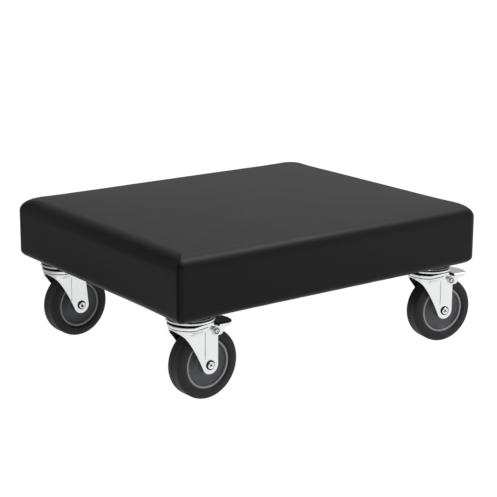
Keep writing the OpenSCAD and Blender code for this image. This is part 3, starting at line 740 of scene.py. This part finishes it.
def wheel_core(caster):
    """Dished plastic core: hub, web that sweeps out to a narrow raised ring, and the tyre's seat."""
    bore, hub, hub_w, web, lip, rim = 4.6, 9.0, 11.6, 2.6, WHEEL_LIP, TYRE_SEAT
    ring = [[rim - 3.1, lip - 1.0], [rim - 2.9, lip - 0.2], [rim - 2.6, lip], [rim - 1.3, lip],
            [rim - 1.0, lip - 0.2], [rim - 0.8, lip - 0.8], [rim, lip - 0.9]]
    profile = both_sides(np.concatenate([
        [[bore, hub_w - 0.4], [bore + 0.4, hub_w], [hub - 0.9, hub_w], [hub - 0.3, hub_w - 0.3],
         [hub, hub_w - 0.9]],
        bezier([[hub, web + 3], [hub + 0.6, web], [rim - 9.5, web], [rim - 3.9, lip - 3.4]], 18),
        bezier([[rim - 3.9, lip - 3.4], [rim - 3.5, lip - 3], [rim - 3.2, lip - 2], ring[0]], 5)[1:],
        ring[1:],
    ]))
    item = turned(f"{caster}_wheel_dish", profile, caster, AXLE, ACROSS, 128, 40)
    mount(item, f"{caster}_wheel", "grey_plastic", f"{caster}_wheel_core")
    # Painted highlight: the raised ring is a lighter grey
    second_finish(item, "ring_grey", lambda x, y, z: abs(from_axle(x, z) - rim + 2) < 1.05)


# Forks

def soft_min(a, b, width):
    """The smaller of a and b, with the corner between them rounded over width:
    min(a, b) - width / 4 (1 - |a - b| / width)^2 while the two are less than width apart."""
    near = np.maximum(1 - abs(a - b) / width, 0)
    return np.minimum(a, b) - width / 4 * near * near


def crown_half(x, radius):
    """Half width of the crown at x: a circle of the radius whose sides are drawn in to 20 - 0.2 x."""
    circle = np.sqrt(np.maximum(radius ** 2 - x * x, 0))
    return soft_min(circle, radius - 4 - 0.2 * x, 1.5) * smooth_step(circle / 3)


def fork_crown(caster):
    """Dished head of the fork: a slab with a turned-down rim, each ring of it a scaled copy of the crown's
    plan. Its top is painted dark, standing for the shade in the gap under the dust ring."""
    bore, inner, edge, foot = 4.1, CROWN_R - CROWN_SHEET, 1.7, 0.5
    under = CROWN_Z - CROWN_SHEET
    arc = np.linspace(0, math.pi / 2, 7)[:, None]
    top = np.hstack([CROWN_R - edge + edge * np.cos(arc), CROWN_Z - edge + edge * np.sin(arc)])
    low = np.hstack([CROWN_R - foot + foot * np.sin(arc), CROWN_FOOT_Z + foot - foot * np.cos(arc)])
    profile = np.concatenate([
        [[bore, under], [inner - 1.5, under], [inner - 0.4, under - 0.4], [inner, under - 1.5],
         [inner, CROWN_FOOT_Z]],
        low, top, [[inner, CROWN_Z], [bore + 6, CROWN_Z], [bore, CROWN_Z]]])
    a = np.linspace(0, 2 * math.pi, 192, endpoint=False)
    x = CROWN_R * np.cos(a)
    plan = np.stack([x, np.sign(np.sin(a)) * crown_half(x, CROWN_R)], -1)[:, None]
    share, height = profile[None, :, :1] / CROWN_R, profile[None, :, 1:]
    points = np.concatenate([plan * share, np.broadcast_to(height, (len(a), len(profile), 1))], -1)
    faces = grid_faces(len(a), len(profile), True, True)
    item = piece(f"{caster}_fork_crown", placed(points, caster), faces, 40)
    mount(item, f"{caster}_fork", "bright_zinc", f"{caster}_fork")
    # Painted shade: the top of the crown is dark
    second_finish(item, "greased_steel", lambda x, y, z: z > CROWN_Z - 1.45)


def leg_rows(braked):
    """Heights of a leg's rows with the X at which each begins and ends: the sweep of the leading edge is a
    cubic curve from the skirt to the foot, the foot is an arc round the axle, and the lobe an arc round the
    hinge. Near the top the rear edge is tucked in to where the leg meets the skirt's plan."""
    lobe_z, tuck_z, tuck_x, groove_z, lead_z = 66, 77.5, 18.4, 78.6, 78.7
    parts = [AXLE_Z - FOOT_R * np.cos(np.linspace(0.12, math.pi / 2, 14)), np.linspace(AXLE_Z, lobe_z, 22),
             np.linspace(lobe_z, groove_z, 26), np.linspace(groove_z, CROWN_FOOT_Z, 10)]
    z = np.concatenate([part[:-1] for part in parts] + [np.linspace(CROWN_FOOT_Z, CROWN_Z - 0.2, 8)])
    turn = math.radians(204)
    foot = np.array([AXLE_X + FOOT_R * math.cos(turn), AXLE_Z + FOOT_R * math.sin(turn)])
    height = CROWN_Z - CROWN_SHEET - AXLE_Z
    sweep = 0.58 * height
    handle = foot + sweep * np.array([math.sin(turn), -math.cos(turn)])
    lead = bezier([[-24, lead_z], [-15.6, lead_z - 0.22 * sweep], handle, foot], 200)
    arc = np.sqrt(np.maximum(FOOT_R ** 2 - (z - AXLE_Z) ** 2, 0))
    begin = np.where(z < foot[1], AXLE_X - arc, np.interp(z, lead[::-1, 1], lead[::-1, 0]))
    lean = 0 if braked else FOOT_R / 2 / height
    end = np.where(z < AXLE_Z, AXLE_X + arc, AXLE_X + FOOT_R - lean * (z - AXLE_Z))
    if braked:
        lobe = HINGE_X + np.sqrt(np.maximum(LOBE_R ** 2 - (z - HINGE_Z) ** 2, 0))
        end = np.where(abs(z - HINGE_Z) < LOBE_R, np.maximum(end, lobe), end)
    return z, begin, end + (tuck_x - end) * smooth_step((z - tuck_z) / 3)


def fork_legs(caster, braked):
    """Both legs and the skirt that joins them in front, one sheet: |y| is LEG_OUT behind the crease and opens
    by LEG_SPLAY ahead of it, the flare eases it out to the skirt's plan below the rim, and the round of the
    skirt in front is the limit. A fine groove marks the crease, another one the foot of the crown's rim."""
    crease = BRAKED_CREASE if braked else FREE_CREASE
    z, begin, end = (row[:, None] for row in leg_rows(braked))
    begin = np.maximum(begin, -SKIRT_R)
    margin = np.minimum(1.4, 0.3 * (end - begin))
    near = np.clip(crease, begin + 1.1 * margin, end - 1.1 * margin) + np.linspace(-1, 1, 11) * margin
    start, stop = (np.arccos(np.clip(-edge / SKIRT_R, -1, 1)) for edge in (begin, near[:, :1]))
    x = np.hstack([-SKIRT_R * np.cos(start + (stop - start) * np.linspace(0, 1, 28)[:-1]), near,
                   near[:, -1:] + (end - near[:, -1:]) * np.linspace(0, 1, 14)[1:]])
    z = np.broadcast_to(z, x.shape)
    panel = LEG_OUT + np.maximum(crease - x, 0) * math.tan(LEG_SPLAY)
    plan = crown_half(x, SKIRT_R)
    rise = smooth_step((z - FLARE_Z) / (CROWN_FOOT_Z - FLARE_Z)) * smooth_step((20 - x) / 8)
    round_front = np.sqrt(np.maximum(SKIRT_R ** 2 - np.minimum(x, 0) ** 2, 0))
    y = soft_min(panel + np.maximum(plan - panel, 0) * rise, round_front, 1.2) * smooth_step(round_front / 3)
    groove = CREASE_DEPTH * np.exp(-((x - crease) / CREASE_WIDTH) ** 2)
    groove = groove * smooth_step((z - 40) / 8) * smooth_step((78.5 - z) / 4)
    step = RIM_STEP * smooth_step((z - 79.2) / 0.4) * smooth_step((14 - x) / 6) * smooth_step(round_front / 8)
    half = np.stack([x, np.maximum(y - groove - step, 0), z], -1).reshape(-1, 3)
    quads = grid_faces(*x.shape)
    points = np.concatenate([half, half * [1, -1, 1]])
    faces = np.concatenate([quads, quads[:, ::-1] + x.size])
    item = piece(f"{caster}_fork_legs", placed(points, caster), faces, 60)
    thicken(item, SHEET * MM)
    round_edges(item, 0.35 * MM)
    mount(item, f"{caster}_fork", "bright_zinc", f"{caster}_fork")
    # Painted shade: a grey stripe along the crease and a dark band at the foot of the crown's rim
    second_finish(item, "worn_zinc", lambda x, y, z: (abs(x - crease) < 0.42) & (z > 44) & (z < 73.2))
    second_finish(item, "greased_steel", lambda x, y, z: (z > 79.5) & (z < 80.6) & (x < 11))


def dust_ring(caster):
    """Pressed ring under the race: a narrow lip, a neck, and the wider band that hides the upper balls."""
    arc = np.linspace(math.pi / 2, 0, 6)
    band = np.stack([24.6 + 0.7 * np.cos(arc), 88.0 + 0.7 * np.sin(arc)], -1)
    lip = np.stack([23.65 + 0.45 * np.cos(arc), 90.2 + 0.45 * np.sin(arc)], -1)
    neck = [[24.1, 89.95], [23.8, 89.75], [22.8, 89.6], [22.6, 89.4], [22.6, 89.1], [22.9, 88.75],
            [24.3, 88.7]]
    foot = [[25.3, 86.7], [25.1, 86.5], [24.7, 86.5], [24.5, 86.7], [24.5, 87.6], [24.2, 87.9],
            [21.4, 87.9]]
    profile = np.concatenate([[[21.4, 90.65]], lip, neck, band, foot])
    item = turned(f"{caster}_shield_ring", profile, caster, (0, 0, 0), (0, 0, 1), 160, 40)
    mount(item, "seat", "bright_zinc", f"{caster}_dust_ring")
    # Painted shade: the lip is mid-grey, and the neck and the foot's underside are dark, for the shade under the
    # seat and between the rings
    second_finish(item, "worn_zinc", lambda x, y, z: z > 89.7)
    second_finish(item, "greased_steel", lambda x, y, z: (np.hypot(x, y) < 23.3) | (z < 86.6))


def axle_bolt(caster):
    """Bolt across both legs: a domed head with a turned dimple, and a plain end past the nut."""
    head, dome, dimple, shank, out, end = 5.2, 2.2, 2.4, 3.2, LEG_OUT, LEG_OUT + 6.2
    arc = np.linspace(0, math.pi / 2, 8)
    collar = np.stack([head - 0.4 + 0.4 * np.cos(arc), out + 0.6 + 0.4 * np.sin(arc)], -1)
    edge = np.stack([3.1 + 0.9 * np.cos(arc), out + dome - 0.9 + 0.9 * np.sin(arc)], -1)
    cup = 1 - np.linspace(0, 1, 7)
    dish = np.stack([dimple * cup, out + dome - 1.2 * np.sqrt(1 - cup ** 2)], -1)
    dish[-1, 0] = 0.01
    stem = [[0.01, -end], [shank - 0.6, -end], [shank, -end + 0.6], [shank, out], [head, out]]
    groove = [[4.65, out + 0.95], [4.5, out + 0.5], [4.05, out + 0.45]]
    profile = np.concatenate([stem, collar, groove, edge, dish])
    item = turned(f"{caster}_bolt_turned", profile, caster, AXLE, (0, -1, 0), 96, 30)
    mount(item, f"{caster}_fork", "axle_steel", f"{caster}_axle_bolt")
    # Painted shade: on the outer head, the ring round its edge and the middle of the dimple are dark
    second_finish(item, "greased_steel",
                  lambda x, y, z: (y < 0) & ((from_axle(x, z) > 3.95) | (from_axle(x, z) < 1.0)))


def brake_rivets(caster):
    """Hinge rivets with hollow ends: a rolled rim, a groove and the bore of the tube. One mesh, mirrored."""
    start, out, head, shank, collar = 11.1, PEDAL_OUT + 0.05, 3.8, 2.5, 3.3
    arc = np.linspace(0, math.pi, 9)
    rim = np.stack([head - 0.6 + 0.6 * np.cos(arc), out + 0.1 + 0.6 * np.sin(arc)], -1)
    tube = np.stack([1.75 + 0.45 * np.cos(arc), out + 0.3 + 0.55 * np.sin(arc)], -1)
    profile = np.concatenate([
        [[0.01, start], [collar - 0.1, start], [collar, start + 0.1], [collar, 11.95], [shank, 12],
         [shank, out], [head, out]], rim, [[2.3, out]], tube, [[1.3, out - 1.2], [0.01, out - 1.2]]])
    item = joined([turned(f"{caster}_rivets_hollow", profile, caster, HINGE, (0, side, 0), 64, 30)
                   for side in (-1, 1)])
    mount(item, f"{caster}_fork", "axle_steel", f"{caster}_brake_rivets")
    # Painted shade: on the outer heads the groove and bore are dark, the rim grey and the edge beyond it dark
    second_finish(item, "greased_steel", lambda x, y, z: (abs(y) > PEDAL_OUT - 1.3) & (
        (abs(from_hinge(x, z) - 2.45) < 0.35) | (from_hinge(x, z) < 1.3)))
    second_finish(item, "worn_zinc", lambda x, y, z: abs(from_hinge(x, z) - 3.15) < 0.35)
    second_finish(item, "greased_steel", lambda x, y, z: from_hinge(x, z) > 3.55)


def ear_foot(x):
    """Height of the pedal ear's lower edge at x, both from the hinge: a quarter of an ellipse in front, an
    arc, a line, and a cubic curve up to the tread."""
    r = EAR_R
    back = bezier([[2.15 * r, 0.9 * r], [1.8 * r, 0.45 * r], [1.8 * r, -0.4 * r], [1.1 * r, -0.78 * r]], 60)
    behind = np.interp(x, np.append(0.5 * r, back[::-1, 0]), np.append(-0.866 * r, back[::-1, 1]))
    along = np.where(x < 0, x * r / EAR_FRONT, x)
    return np.where(x < 0.5 * r, -np.sqrt(np.maximum(r ** 2 - along ** 2, 0)), behind)


def pedal_tread():
    """Columns of points, one at each x: its section is an ear, a round bend and half of the tread, mirrored.
    Ear, bend and width shrink together behind the ears, and the rear edge is a cubic curve."""
    rise, bow = PEDAL_REACH - PEDAL_BOW, 1.1 * PEDAL_BOW
    t = np.linspace(0, 0.47, 14)[1:]
    x = np.concatenate([np.linspace(PEDAL_FRONT, rise, 30), rise + bow * 3 * t * (1 - t)])
    width = PEDAL_OUT * ((1 - t) ** 3 - t ** 3) + 0.55 * PEDAL_OUT * 3 * t * (1 - t) * (1 - 2 * t)
    width = np.concatenate([np.full(30, PEDAL_OUT), width])
    radius = 2.6 - 2.3 * smooth_step((x - 13) / 7)
    bend = PEDAL_TOP - radius
    flange = np.maximum(bend - 2 * smooth_step((19.5 - x) / 3), 0)
    low = np.where(x > 2.15 * EAR_R, flange, np.minimum(ear_foot(x), flange))
    low = np.minimum(low, bend - 0.1)
    down = np.linspace(0, 1, 14)[:, None]
    turn = np.linspace(0, math.pi / 2, 9)[1:, None]
    flat = (width - radius) * np.linspace(1, 0, 8)[1:, None]
    y = np.concatenate([width + 0 * down, width - radius + radius * np.cos(turn), flat])
    z = np.concatenate([low + (bend - low) * down, bend + radius * np.sin(turn),
                        np.full(flat.shape, PEDAL_TOP)])
    y, z = np.concatenate([y, -y[-2::-1]]), np.concatenate([z, z[-2::-1]])
    return np.stack([np.broadcast_to(x, y.shape), y, z], -1)


def pedal_lobe():
    """Front of one ear, from a round end about the hinge back to the tread."""
    x = np.concatenate([-EAR_FRONT * np.cos(np.linspace(0.12, math.pi / 2, 12)),
                        np.linspace(0, PEDAL_FRONT, 6)[1:]])
    low, top = ear_foot(x), EAR_TOP * np.sqrt(1 - (np.minimum(x, 0) / EAR_FRONT) ** 2)
    z = low + (top - low) * np.linspace(0, 1, 14)[:, None]
    return np.stack([np.broadcast_to(x, z.shape), np.full(z.shape, PEDAL_OUT), z], -1)


def brake_pedal(caster):
    """Pedal bent from one sheet, tread and ears, with the shoe under it that meets the tyre."""
    lobe = pedal_lobe()
    points, faces = [], []
    for grid, order in ((pedal_tread(), 1), (lobe, 1), (lobe * [1, -1, 1], -1)):
        faces.append(grid_faces(*grid.shape[:2])[:, ::order] + sum(map(len, points)))
        points.append(grid.reshape(-1, 3))
    c, s = math.cos(PEDAL_SLOPE), math.sin(PEDAL_SLOPE)
    tilt = np.array([[c, 0, s], [0, 1, 0], [-s, 0, c]])
    sheet = piece(f"{caster}_pedal_sheet", placed(np.concatenate(points) @ tilt.T + HINGE, caster),
                  np.concatenate(faces), 60)
    thicken(sheet, PEDAL_SHEET * MM)
    box = np.array([[a, b, c] for a in (8.5, 10) for b in (-7.5, 7.5) for c in (1.1, 6.3)])
    sides = [[0, 1, 3, 2], [4, 6, 7, 5], [0, 4, 5, 1], [2, 3, 7, 6], [0, 2, 6, 4], [1, 5, 7, 3]]
    shoe = piece(f"{caster}_pedal_shoe", placed(box @ tilt.T + HINGE, caster), sides, 35)
    for item in (sheet, shoe):
        round_edges(item, 0.3 * MM)
        mount(item, f"{caster}_pedal", "bright_zinc", f"{caster}_brake_pedal")


# Stage

def camera():
    """Camera that sees the object as the photograph shows it."""
    right = CAMERA_LOOKS.cross(CAMERA_UP).normalized()
    up = right.cross(CAMERA_LOOKS).normalized()
    lens = bpy.data.cameras.new("camera")
    lens.sensor_width = SENSOR_MM
    lens.lens = FOCAL_PIXELS * SENSOR_MM / IMAGE_PIXELS
    lens.clip_end = 100
    item = shown("camera", lens)
    turn = Matrix((right, up, -CAMERA_LOOKS.normalized())).transposed().to_4x4()
    item.matrix_world = Matrix.Translation(CAMERA_PLACE) @ turn
    bpy.context.scene.camera = item


def lamp():
    """Square soft box at the right, turned towards the object."""
    light = bpy.data.lights.new("right_box", "AREA")
    light.size = LAMP_SIZE
    light.energy = LAMP_POWER
    item = shown("right_box", light)
    item.location = LAMP_PLACE
    item.rotation_euler = (LAMP_TARGET - LAMP_PLACE).to_track_quat("-Z", "Y").to_euler()


def floor():
    """Pale floor, white where it is seen, apart from the soft shadow on it. Glosses see it dimmer at the back
    left."""
    corners = [(x * FLOOR_HALF, y * FLOOR_HALF, 0) for x, y in ((-1, -1), (1, -1), (1, 1), (-1, 1))]
    item = piece("floor", corners, [(0, 1, 2, 3)], weld=False)
    paint = bpy.data.materials.new("floor_paint")
    paint.use_nodes = True
    paint.node_tree.nodes.clear()
    w = Wiring(paint.node_tree)
    rays = w.add("LightPath").outputs
    where = w.add("SeparateXYZ", {0: w.add("TexCoord").outputs["Object"]}).outputs
    faded = w.band(w.math("SUBTRACT", where["Y"], where["X"]), *FLOOR_FADE)
    lit = w.math("MAXIMUM", w.ramp(faded, 1.0, FLOOR_DIM), rays["Is Camera Ray"])
    white = w.add("Emission", {"Color": (1, 1, 1, 1), "Strength": w.math("MULTIPLY", lit, FLOOR_GLOW)})
    pale = w.add("BsdfDiffuse", {"Color": (0.93, 0.93, 0.93, 1)})
    share = w.math("MULTIPLY", w.math("MAXIMUM", rays["Is Camera Ray"], rays["Is Glossy Ray"]), FLOOR_WHITE)
    mixed = w.add("MixShader", {0: share, 1: pale.outputs[0], 2: white.outputs[0]})
    w.add("OutputMaterial", {"Surface": mixed.outputs[0]})
    item.data.materials.append(paint)


def surroundings():
    """White walls, darker above, and a wide soft box over the right side. The camera sees plain white."""
    world = bpy.data.worlds.new("studio")
    bpy.context.scene.world = world
    world.use_nodes = True
    world.node_tree.nodes.clear()
    w = Wiring(world.node_tree)
    way = w.add("SeparateXYZ", {0: w.add("TexCoord").outputs["Generated"]}).outputs
    rays = w.add("LightPath").outputs
    gloss = rays["Is Glossy Ray"]
    walls = w.math("MULTIPLY", w.ramp(w.band(way["Z"], *WALL_FADE), 1.0, CEILING),
                   w.ramp(gloss, WALL_LIGHT, WALL_GLOSS))
    above = w.math("MAXIMUM", w.math("SUBTRACT", way["Z"], BOX_TOP), 0.0)
    side = w.band(w.math("ADD", way["X"], w.math("MULTIPLY", above, BOX_OVER)), *BOX_SIDE)
    rise = w.math("MAXIMUM", w.band(way["Z"], *BOX_RISE), w.ramp(w.band(way["Y"], *BOX_FRONT), BOX_LOW, 0.0))
    box = w.math("MULTIPLY", w.math("MULTIPLY", rise, side), w.math("MULTIPLY", gloss, BOX_LIGHT))
    strength = w.math("MAXIMUM", w.math("ADD", walls, box), rays["Is Camera Ray"])
    back = w.add("Background", {"Color": (1, 1, 1, 1), "Strength": strength})
    w.add("OutputWorld", {"Surface": back.outputs[0]})


camera()
floor()
surroundings()
lamp()
slots = {part["node"]: part["material_slot"] for part in frame["record"]["subparts"]}
for name, node in NODES.items():
    node.data.materials.clear()
    node.data.materials.append(MATERIALS[slots[name]])
seat_cushion()
dust_cloth()
for caster in CASTERS:
    braked = f"{caster}_brake" in JOINTS
    tyre(caster)
    wheel_core(caster)
    fork_crown(caster)
    fork_legs(caster, braked)
    dust_ring(caster)
    axle_bolt(caster)
    if braked:
        brake_rivets(caster)
        brake_pedal(caster)

bpy.context.scene.view_settings.view_transform = "Standard"
